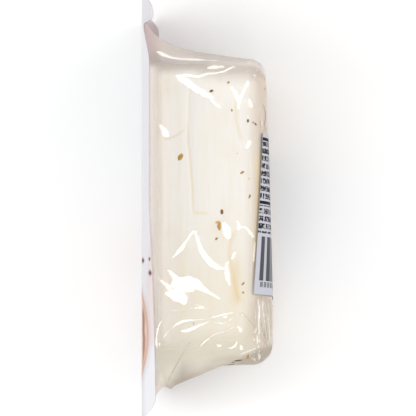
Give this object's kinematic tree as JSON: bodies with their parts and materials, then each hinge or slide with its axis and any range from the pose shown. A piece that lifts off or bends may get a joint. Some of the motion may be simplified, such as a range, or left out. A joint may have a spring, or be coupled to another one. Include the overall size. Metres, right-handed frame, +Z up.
{
  "type": "halloumi",
  "caption": "Sealed pack of halloumi: a folded block of cheese with mint under clear formed film, a flat printed front film with a flange all round, and a paper label on the back.",
  "frame": {"origin": "on the surface that the pack lies on, under the middle of its box", "axes": "+Y along the pack towards its top end, +Z up through the long side that shows, +X towards the back with the label; the front film is on -X"},
  "size_m": [0.0546, 0.1254, 0.0776],
  "materials": {
    "cheese_under_film": "clear gloss film over cream cheese",
    "printed_film": "satin printed film",
    "label_paper": "coated paper"
  },
  "bodies": {
    "root": {"cheese_pouch": "cheese_under_film", "front_film": "printed_film", "back_label": "label_paper"}
  },
  "joints": []
}
